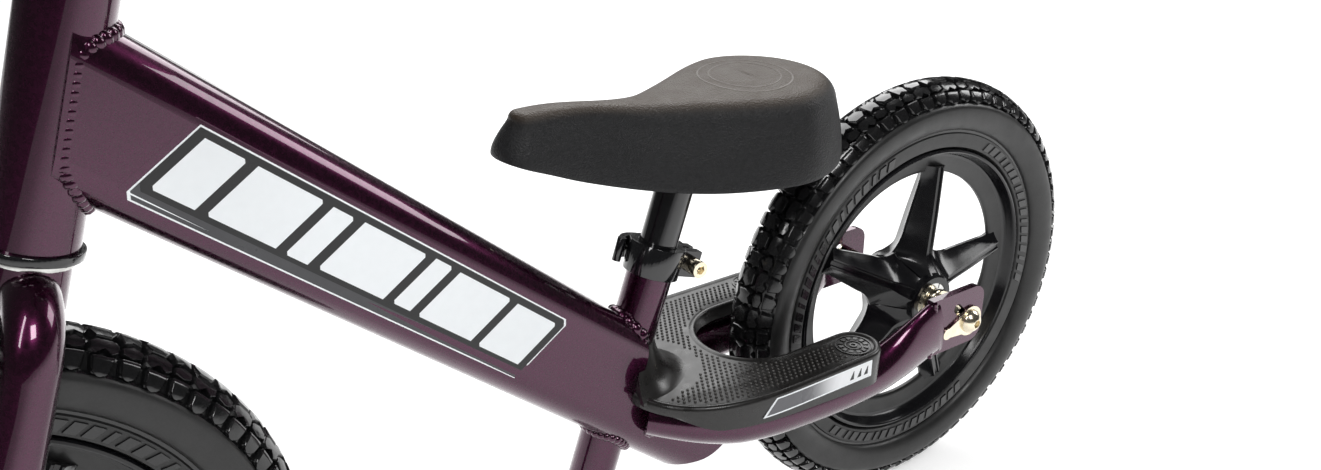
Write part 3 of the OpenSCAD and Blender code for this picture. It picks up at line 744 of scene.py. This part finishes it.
def foot_edge(x, inset):
    """Half width of the footrest's outer edge at x."""
    t = max(0, (x - FOOT_BOW) / (FOOT_FRONT - inset - FOOT_BOW))
    return (FOOT_HALF - inset) * max(0, 1 - t ** 2.7) ** (1 / 2.7)


def foot_outline(inset):
    """The U-shaped plan as one closed loop. Every inset gives the same number of points."""
    r_end = FOOT_ARM / 2 - inset
    end_x = FOOT_BACK + FOOT_ARM / 2
    mid_y = FOOT_HALF - FOOT_ARM / 2
    half = []
    span = FOOT_FRONT - inset - FOOT_BOW
    for k in range(15):
        a = math.pi / 2 * k / 14
        half.append((FOOT_MID + (FOOT_IN + inset) * math.cos(a), (FOOT_IN + inset) * math.sin(a)))
    for k in range(1, 6):
        half.append((FOOT_MID + (end_x - FOOT_MID) * k / 6, FOOT_IN + inset))
    for k in range(13):
        a = -math.pi / 2 - math.pi * k / 12
        half.append((end_x + r_end * math.cos(a), mid_y + r_end * math.sin(a)))
    for k in range(1, 6):
        half.append((end_x + (FOOT_BOW - end_x) * k / 6, FOOT_HALF - inset))
    for k in range(25):
        x = FOOT_BOW + span * math.sin(math.pi / 2 * k / 24)
        half.append((x, foot_edge(x, inset)))
    return half + [(x, -y) for x, y in half[-2:0:-1]]


def inside(outline, x, y):
    """Whether a point lies inside a closed outline."""
    found = False
    for (x0, y0), (x1, y1) in zip(outline, outline[1:] + outline[:1]):
        if (y0 > y) != (y1 > y) and x < x0 + (y - y0) * (x1 - x0) / (y1 - y0):
            found = not found
    return found


def skirt_z(x, y):
    """The footrest's lower edge: deeper towards the back, and short inside the U and round the stays."""
    outer = -12.5 + 8.5 * (x - FOOT_BACK) / (FOOT_FRONT - FOOT_BACK) + 10 * ease((x - 205) / 34)
    inner = ease((math.hypot(max(0, x - FOOT_MID), y) - FOOT_IN - 6) / 12)
    if x < FOOT_BACK + FOOT_ARM / 2:
        inner = ease((abs(y) - FOOT_IN - FOOT_ARM / 2) / 8)
    return 1.0 + (outer - 1.0) * inner


HORN_X = 237.5
TUBE_R = 13.8


def horn_reach(a):
    """How far the horn's foot lies from the seat tube's axis, at a degrees from straight back."""
    return 50 - 19 * ease(abs(a) / 95)


def make_footrest():
    parts = Parts()
    profile = [(4.0, 6.0, 0), (4.0, 0, 1), (0.9, 0, 1), (0.25, 4.0, 0), (0.0, 8.4, 0), (0.5, 10.2, 0),
               (1.6, 11.0, 0), (3.0, 11.0, 0), (4.2, 10.2, 0), (4.8, DECK_Z, 0)]
    rings = []
    for inset, z, hangs in profile:
        rings.append([(x, y, skirt_z(x, y) if hangs else z) for x, y in foot_outline(inset)])
    parts.add(loft(rings))
    parts.add(horn())
    verts, faces = parts.verts, parts.faces
    add_mesh("footrest_moulding", verts, faces, DECK, "frame", "footrest_plastic", replaces=["footrest"],
             sharp=45)
    make_dots()
    for name, side in (("left", 1), ("right", -1)):
        make_disc(name, side)
        make_label(name, side)


def horn():
    """The flared collar that sweeps up from the deck round the back of the seat tube."""
    turns = [-96 + 192 * k / 32 for k in range(33)]
    lean = (SEAT.col[2].xyz / MM)
    rings = []
    for a in turns:
        rad = math.radians(a)
        bend = 2.4 - 1.25 * ease((abs(a) - 35) / 50)
        reach = horn_reach(a)
        ring = []
        for k in range(13):
            t = k / 12
            r = TUBE_R + (reach - TUBE_R) * t
            z = DECK_Z - 0.6 + 25 * (1 - t) ** bend
            ring.append((HORN_X - r * math.cos(rad) + (z - DECK_Z) * lean.x / lean.z * (1 - t),
                         r * math.sin(rad), z))
        ring += [(HORN_X - reach * math.cos(rad), reach * math.sin(rad), DECK_Z - 3),
                 (HORN_X - TUBE_R * math.cos(rad), TUBE_R * math.sin(rad), DECK_Z - 3)]
        rings.append(ring)
    return loft(rings)


def on_horn(x, y):
    back = HORN_X - x
    return math.hypot(back, y) < horn_reach(math.degrees(math.atan2(abs(y), back))) + 2.5


DISC_X = FOOT_BACK + FOOT_ARM / 2 + 1
DISC_Y = FOOT_HALF - FOOT_ARM / 2
DISC_R = 11.6


def make_dots():
    """Rows of small raised studs over the deck."""
    step_x, step_y, r, rise = 3.6, 3.1, 0.95, 0.8
    field = foot_outline(6.4)
    parts = Parts()
    rows = int(FOOT_HALF / step_y)
    for row in range(-rows, rows + 1):
        y = row * step_y
        for k in range(int((FOOT_FRONT - FOOT_BACK) / step_x)):
            x = FOOT_BACK + (k + 0.5 * (row % 2)) * step_x
            if not inside(field, x, y) or on_horn(x, y):
                continue
            if math.hypot(x - DISC_X, abs(y) - DISC_Y) < DISC_R + 1.6:
                continue
            rings = [[(x + q * math.cos(TAU * i / 8), y + q * math.sin(TAU * i / 8), DECK_Z + z)
                      for i in range(8)] for q, z in ((r, -0.3), (r * 0.9, rise * 0.55), (r * 0.5, rise))]
            parts.add(loft(rings))
    # The studs get the lighter colour, a painted highlight.
    add_mesh("footrest_studs", parts.verts, parts.faces, STUD_HIGHLIGHT_PAINT, "frame", "footrest_plastic", sharp=70)


def make_disc(name, side):
    """A round patterned grip patch near the end of each arm."""
    parts = Parts()

    def ring_band(inner, outer, rise, a0=0.0, a1=TAU, steps=40):
        full = a1 - a0 >= TAU
        rings = []
        for k in range(steps if full else steps + 1):
            a = a0 + (a1 - a0) * k / steps
            rings.append([(DISC_X + r * math.cos(a), side * DISC_Y + r * math.sin(a), DECK_Z + z)
                          for r, z in ((inner, -0.4), (inner + 0.15, rise), (outer - 0.15, rise),
                                       (outer, -0.4))])
        parts.add(loft(rings, closed=full))

    ring_band(DISC_R - 1.1, DISC_R, 0.6)
    ring_band(4.4, 5.4, 0.6)
    ring_band(1.2, 2.6, 0.6)
    for k in range(12):
        a = TAU * k / 12
        ring_band(6.4, 9.6, 0.6, a, a + 0.3, 4)
    add_mesh(f"footrest_disc_{name}", parts.verts, parts.faces, DECK, "frame", "footrest_plastic", sharp=50)


def make_label(name, side):
    """A plain panel along the footrest's side: a white frame round a field that fades to silver."""
    def patch(x0, x1, z0, z1, slant, low, high, steps=16):
        rings = []
        for k in range(steps + 1):
            t = k / steps
            ring = []
            for z, lift in ((z0, low), (z0, high), (z1, high), (z1, low)):
                lean = slant * (z - z0) * (1 - t)
                x = x0 + (x1 - x0) * t - lean
                ring.append((x, side * (foot_edge(x, 0.0) + lift), z))
            rings.append(ring)
        return loft(rings)

    verts, faces = patch(182, 98, -3.4, 7.8, 0.8, -0.25, 0.06)
    add_mesh(f"label_edge_{name}", verts, faces, WHITE_INK, "frame", "footrest_plastic")
    verts, faces = patch(179.6, 99.2, -2.4, 6.8, 0.8, 0.0, 0.12)
    panel = add_mesh(f"label_field_{name}", verts, faces, SILVER_INK, "frame", "footrest_plastic")
    bright = panel.data.attributes.new("bright", "FLOAT", "POINT")
    parts = Parts()
    for x in (116, 110, 104.5):
        parts.add(patch(x, x - 3.2, -0.6, 5.0, 0.5, 0.0, 0.2, steps=2))
    add_mesh(f"label_bars_{name}", parts.verts, parts.faces, BLACK_INK, "frame", "footrest_plastic")
    near = (REAR @ Vector((150, 0, 0))).x
    far = (REAR @ Vector((122, 0, 0))).x
    bright.data.foreach_set("value", [ease((near - v.co.x) / (near - far)) for v in panel.data.vertices])


# ---- Saddle ----

def saddle_ease(x, a, b):
    return 0.5 - 0.5 * math.cos(math.pi * min(1, max(0, (x - a) / (b - a))))


def saddle_low(x):
    nose = 0.0025 * max(0, x - 188) ** 2 - 0.005 * max(0, x - 280) ** 2
    return 130 + nose + 0.0003 * min(0, x - 188) ** 2


def saddle_high(x):
    return 179 - 2 * saddle_ease(x, 120, 190) + 8 * saddle_ease(x, 208, 286)


def saddle_plan():
    """The lower edge seen from above: round tail, long taper, and a blunt round nose."""
    half = []
    for k in range(14):
        a = math.pi / 2 * k / 14
        half.append((150 - 58 * math.cos(a), 57 * math.sin(a)))
    for k in range(25):
        x = 150 + 144 * k / 24
        half.append((x, 57 - 40 * saddle_ease(x, 140, 266)))
    for k in range(1, 8):
        a = math.pi / 2 * k / 7
        half.append((294 + 15 * math.sin(a), 17 * math.cos(a)))
    return half + [(x, -y) for x, y in half[-2:0:-1]]


SPINE = (150, 292)


def saddle_levels(x, reach):
    """The skin's section from the spine over the shoulder, down the flared side and in underneath,
    as (distance in from the lower edge, height)."""
    flare = 5 + 6 * saddle_ease(x, 140, 200) - 4.5 * saddle_ease(x, 235, 290) + 4 * saddle_ease(x, 290, 309)
    low, high = saddle_low(x), saddle_high(x)
    shoulder = min(13 - 4 * saddle_ease(x, 240, 290), (reach - flare) * 0.7)
    flat = reach - flare - shoulder
    levels = [(reach - flat * k / 5, high + min(1.4, flat / 20) * (1 - (k / 5) ** 2)) for k in range(5)]
    for k in range(8):
        a = math.pi / 2 * k / 7.4
        levels.append((flare + shoulder * (1 - math.sin(a)), high - shoulder * (1 - math.cos(a))))
    top = levels[-1][1]
    for k in range(1, 6):
        t = k / 6
        levels.append((flare * (1 - t) - 0.9 * math.sin(math.pi * t), top + (low + 3 - top) * t))
    depth = min(9.0, reach * 0.4)
    return levels + [(0.0, low + 1.4), (1.0, low), (3.4, low + 0.3), (4.6, low + 3), (5.2, low + depth),
                     (reach * 0.6, low + depth + 0.5), (reach, low + depth + 0.5)]


def make_saddle():
    """The skin is one closed form, in rings that run round the saddle."""
    columns = []
    for x, y in saddle_plan():
        mid = min(SPINE[1], max(SPINE[0], x))
        reach = math.hypot(x - mid, y)
        columns.append([(mid + (x - mid) * (1 - d / reach), y * (1 - d / reach), z)
                        for d, z in saddle_levels(x, reach)])
    rings = [[column[k] for column in columns] for k in range(len(columns[0]))]
    verts, faces = loft(rings, caps=False)
    saddle = add_mesh("saddle_cover", verts, faces, LEATHER, "seat", "saddle_skin", replaces=["saddle"],
                      sharp=80)
    smooth = saddle.modifiers.new("smooth", "SUBSURF")
    smooth.levels = 1
    smooth.render_levels = 2
    # The attribute marks the top of the skin for the lighter brown: a painted sheen, lighter on top because
    # of how the overhead light falls.
    top_sheen_paint = saddle.data.attributes.new("top_sheen_paint", "FLOAT", "POINT")
    local = REAR.inverted()
    top = []
    for v in saddle.data.vertices:
        x, y, z = local @ v.co
        top.append(ease((z - saddle_high(x) + 5.5) / 6))
    top_sheen_paint.data.foreach_set("value", top)
    make_badge(saddle)


BADGE_X = 150


def make_badge(saddle):
    """Two plain oval lines on the crown of the saddle, one inside the other."""
    bpy.context.view_layer.update()
    graph = bpy.context.evaluated_depsgraph_get()
    skin = BVHTree.FromObject(saddle, graph)
    parts = Parts()

    def band(ax, ay, width):
        rings = []
        for k in range(60):
            a = TAU * k / 60
            ring = []
            for q, lift in ((-width, -0.3), (-width * 0.6, 0.16), (width * 0.6, 0.16), (width, -0.3)):
                x = BADGE_X + (ax + q) * math.cos(a)
                y = (ay + q) * math.sin(a)
                hit = skin.ray_cast(REAR @ Vector((x, y, 250)), Vector((0, 0, -1)))[0]
                ring.append((x, y, (hit.z - rear_hub.z) / MM + lift))
            rings.append(ring)
        parts.add(loft(rings, closed=True))

    band(25, 30, 0.7)
    band(19, 23, 0.6)
    add_mesh("saddle_badge", parts.verts, parts.faces, BADGE, "seat", "saddle_skin", sharp=50)


# ---- Fork and handlebar ----

FORK_LEG_Y = 35
CROWN_S = 164
CROWN_BEND = 24
LEG_R = 11
LEG_FOOT = (48.5, 28.3)
FORK_OFFSET = 5


def make_fork():
    for name, side in (("left", 1), ("right", -1)):
        foot = Vector((FORK_OFFSET, LEG_FOOT[0], LEG_FOOT[1]))
        knee = Vector((0, FORK_LEG_Y, CROWN_S - CROWN_BEND))
        path = [foot.lerp(knee, k / 8) for k in range(8)]
        for k in range(9):
            a = math.pi / 2 * k / 8
            path.append(Vector((0, FORK_LEG_Y - CROWN_BEND * (1 - math.cos(a)),
                                CROWN_S - CROWN_BEND + CROWN_BEND * math.sin(a))))
        path.append(Vector((0, 2, CROWN_S)))
        path = [Vector((p.x, p.y * side, p.z)) for p in path]

        def size(t):
            flat = 1 - ease(t / 0.16)
            return LEG_R + 1.5 * flat, LEG_R - 4.5 * flat

        rings = sweep(path, size, side=Vector((1, 0, 0)))
        verts, faces = loft(rings)
        add_mesh(f"fork_leg_{name}_tube", verts, faces, PAINT, "fork", "frame_paint", place=HEAD,
                 replaces=[f"fork_leg_{name}"])


BAR_R = 9.5
BAR_FLAT = 20
BAR_BEND = 30
BAR_RISE = math.radians(40)
BAR_SLOPE = 34
BAR_HALF = 176
GRIP_LEN = 90


def bar_base():
    """Height of the bar's flat middle along the steering axis."""
    lo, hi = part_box("handlebar_pad")
    return (HEAD.inverted() @ ((lo + hi) / 2)).z - 6


def bar_path():
    s0 = bar_base()
    level_y = BAR_FLAT + 2 * BAR_BEND * math.sin(BAR_RISE) + BAR_SLOPE * math.cos(BAR_RISE)
    level_s = s0 + 2 * BAR_BEND * (1 - math.cos(BAR_RISE)) + BAR_SLOPE * math.sin(BAR_RISE)
    half = []
    for k in range(9):
        a = BAR_RISE * k / 8
        half.append(Vector((0, BAR_FLAT + BAR_BEND * math.sin(a), s0 + BAR_BEND * (1 - math.cos(a)))))
    for k in range(9):
        a = BAR_RISE * (1 - k / 8)
        half.append(Vector((0, level_y - BAR_BEND * math.sin(a), level_s - BAR_BEND * (1 - math.cos(a)))))
    half.append(Vector((0, BAR_HALF - 3, level_s)))
    return [Vector((0, -p.y, p.z)) for p in reversed(half)] + half, level_s


def make_handlebar():
    path, level_s = bar_path()
    verts, faces = loft(sweep(path, lambda t: (BAR_R, BAR_R), side=Vector((1, 0, 0))))
    add_mesh("handlebar_tube", verts, faces, BLACK_METAL, "handlebar", "black_metal", place=HEAD,
             replaces=["handlebar_bar"])
    for name, side in (("left", 1), ("right", -1)):
        profile = [(0.5, 3.0), (0.5, -0.4), (14.6, -0.6), (17.2, 0.6), (18.5, 2.6), (18.5, 5.0),
                   (17.0, 6.8), (13.6, 8.2)]
        ribs = 17
        for k in range(ribs):
            y = 10 + 72 * k / ribs
            profile += [(12.2, y), (12.2, y + 1.0), (13.5, y + 1.7), (13.5, y + 3.3)]
        bore = BAR_R + 0.05
        profile += [(12.4, 83), (16.2, 84.6), (17.0, 86.2), (17.0, 88.4), (15.8, GRIP_LEN),
                    (bore, GRIP_LEN), (bore, 3)]
        centre = HEAD @ Matrix.Translation((0, side * BAR_HALF, level_s))
        shape = revolve([(r, -side * y) for r, y in profile], 56)
        add_mesh(f"grip_{name}_rubber", *shape, RUBBER, "handlebar", "grip_rubber", place=centre,
                 replaces=[f"grip_{name}"], sharp=50)


PAD_HALF = 56
PAD_R = 22
PIPING_R = 1.2


def make_pad():
    """The pad round the bar: a closed sleeve that cloth simulation fills out, then its seams."""
    s0 = bar_base() + 6
    rings = []
    for k in range(29):
        y = -1 + 2 * k / 28
        r = (PAD_R - 2.5) * (1 - abs(y) ** 9 * 0.14)
        rings.append([(r * math.cos(TAU * i / 40), y * (PAD_HALF - 2.5), s0 + r * math.sin(TAU * i / 40))
                      for i in range(40)])
    verts, faces = loft(rings)
    pad = add_mesh("handlebar_pad_cover", verts, faces, CLOTH, "handlebar", "pad_cloth", place=HEAD,
                   replaces=["handlebar_pad"], sharp=80)
    inflate(pad, 0.005, 0.003)
    bpy.context.view_layer.update()
    skin = BVHTree.FromObject(pad, bpy.context.evaluated_depsgraph_get())
    turn = HEAD.to_3x3()
    parts = Parts()
    for end in (-1, 1):
        rings = []
        for i in range(48):
            out = Vector((math.cos(TAU * i / 48), 0, math.sin(TAU * i / 48)))
            seam = Vector((0, end * (PAD_HALF - 6), s0))
            hit = skin.ray_cast(HEAD @ (seam + out * 40), -(turn @ out).normalized())[0]
            p = HEAD.inverted() @ hit
            rings.append([p + PIPING_R * (out * math.cos(TAU * q / 10)
                                          + Vector((0, math.sin(TAU * q / 10), 0)))
                          for q in range(10)])
        parts.add(loft(rings, closed=True))
    add_mesh("handlebar_pad_piping", parts.verts, parts.faces, THREAD, "handlebar", "pad_cloth", place=HEAD)


def inflate(piece, voxel, cap):
    """Blows a closed mesh up as cloth, keeps every point within cap of where it was, and smooths it."""
    scene = bpy.context.scene
    remesh = piece.modifiers.new("remesh", "REMESH")
    remesh.mode = "VOXEL"
    remesh.voxel_size = voxel
    apply_modifiers(piece)
    rest = [v.co.copy() for v in piece.data.vertices]
    cloth = piece.modifiers.new("cloth", "CLOTH")
    cloth.settings.use_pressure = True
    cloth.settings.uniform_pressure_force = 4
    cloth.settings.effector_weights.gravity = 0
    for number in range(1, 21):
        scene.frame_set(number)
    apply_modifiers(piece)
    for v, start in zip(piece.data.vertices, rest):
        move = v.co - start
        if move.length > cap:
            v.co = start + move.normalized() * cap
    scene.frame_set(1)
    smooth = piece.modifiers.new("smooth", "SUBSURF")
    smooth.levels = 1
    smooth.render_levels = 1


def apply_modifiers(piece):
    graph = bpy.context.evaluated_depsgraph_get()
    mesh = bpy.data.meshes.new_from_object(piece.evaluated_get(graph))
    piece.modifiers.clear()
    piece.data = mesh
    mesh.shade_smooth()


# ---- CAD nodes that stay ----

def dress_frame():
    groups = [(PAINT, "frame_paint", 0.0, ["main_tube", "seat_tube", "head_tube", "fork_steerer"]),
              (PAINT, "frame_paint", 0.7, ["dropout_left", "dropout_right", "fork_dropout_left",
                                           "fork_dropout_right"]),
              (POLISHED, "black_metal", 0.4, ["seat_collar", "bar_collar", "seat_lever", "bar_lever",
                                              "headset_lower_cup", "headset_upper_cup",
                                              "headset_top_nut"]),
              (POLISHED, "black_metal", 0.0, ["seat_post", "handlebar_post"]),
              (ZINC, "zinc", 0.35, ["seat_skewer", "seat_skewer_nut", "bar_skewer", "bar_skewer_nut",
                                    "rear_washers", "rear_bolts", "front_washers", "front_bolts",
                                    "rear_spacers", "front_spacers", "saddle_bolts"]),
              (STEEL, "bearing_steel", 0.2, ["rear_bearing_outers", "rear_bearing_inners", "rear_axle",
                                             "front_bearing_outers", "front_bearing_inners", "front_axle",
                                             "headset_crown_race"]),
              (UNDER, "under_plastic", 0.4, ["saddle_base"])]
    for material, slot, bevel, names in groups:
        for name in names:
            node = frame["nodes"][name]
            node.data.materials.clear()
            node.data.materials.append(material)
            if bevel:
                add_bevel(node, bevel)


# ---- Studio ----

def add_light(name, place, target, size, power, shape_y=None):
    lamp = bpy.data.lights.new(name, "AREA")
    lamp.shape = "RECTANGLE"
    lamp.size = size
    lamp.size_y = shape_y or size
    lamp.energy = power
    light = bpy.data.objects.new(name, lamp)
    light.location = place
    light.rotation_euler = (Vector(target) - Vector(place)).to_track_quat("-Z", "Y").to_euler()
    bpy.context.scene.collection.objects.link(light)


def make_studio():
    half = 6
    mesh = bpy.data.meshes.new("floor")
    mesh.from_pydata([(-half, -half, 0), (half, -half, 0), (half, half, 0), (-half, half, 0)], [],
                     [(0, 1, 2, 3)])
    floor = bpy.data.objects.new("floor", mesh)
    bpy.context.scene.collection.objects.link(floor)
    paper = finish_material("floor_paper", (0.86, 0.86, 0.86), 0.9, mottle=(3, 0.01), specular=0.1)
    glow = paper.node_tree.nodes["Principled BSDF"].inputs
    glow["Emission Color"].default_value = (1, 1, 1, 1)
    glow["Emission Strength"].default_value = 0.45
    mesh.materials.append(paper)
    world = bpy.data.worlds.new("world")
    world.use_nodes = True
    tree = world.node_tree
    seen = tree.nodes.new("ShaderNodeLightPath")
    strength = tree.nodes.new("ShaderNodeMapRange")
    strength.inputs["To Min"].default_value = 0.07
    strength.inputs["To Max"].default_value = 0.95
    tree.links.new(seen.outputs["Is Camera Ray"], strength.inputs["Value"])
    tree.links.new(strength.outputs["Result"], tree.nodes["Background"].inputs["Strength"])
    tree.nodes["Background"].inputs["Color"].default_value = (1, 1, 1, 1)
    bpy.context.scene.world = world
    add_light("overhead", (-0.9, -1.3, 1.7), (-0.3, -0.1, 0.1), 2.0, 50)
    add_light("rear", (-1.9, 0.2, 1.2), (-0.3, 0, 0.2), 0.8, 12)
    add_light("strip", (0.9, 0.5, 1.3), (-0.2, 0, 0.2), 0.15, 5, shape_y=0.9)
    add_light("fill", (0.1, 1.3, 1.7), (-0.1, 0, 0.2), 0.6, 16)
    bpy.context.scene.view_settings.view_transform = "Standard"


make_camera()
dress_frame()
for end, place, first in (("rear", REAR, 29), ("front", FRONT, 54)):
    make_tyre(end, place)
    make_rim(end, place)
    make_star(end, place, first)
make_stays()
make_tube_welds()
for name, side in (("left", 1), ("right", -1)):
    make_decal(side, name)
make_footrest()
make_saddle()
make_fork()
make_handlebar()
make_pad()
make_studio()
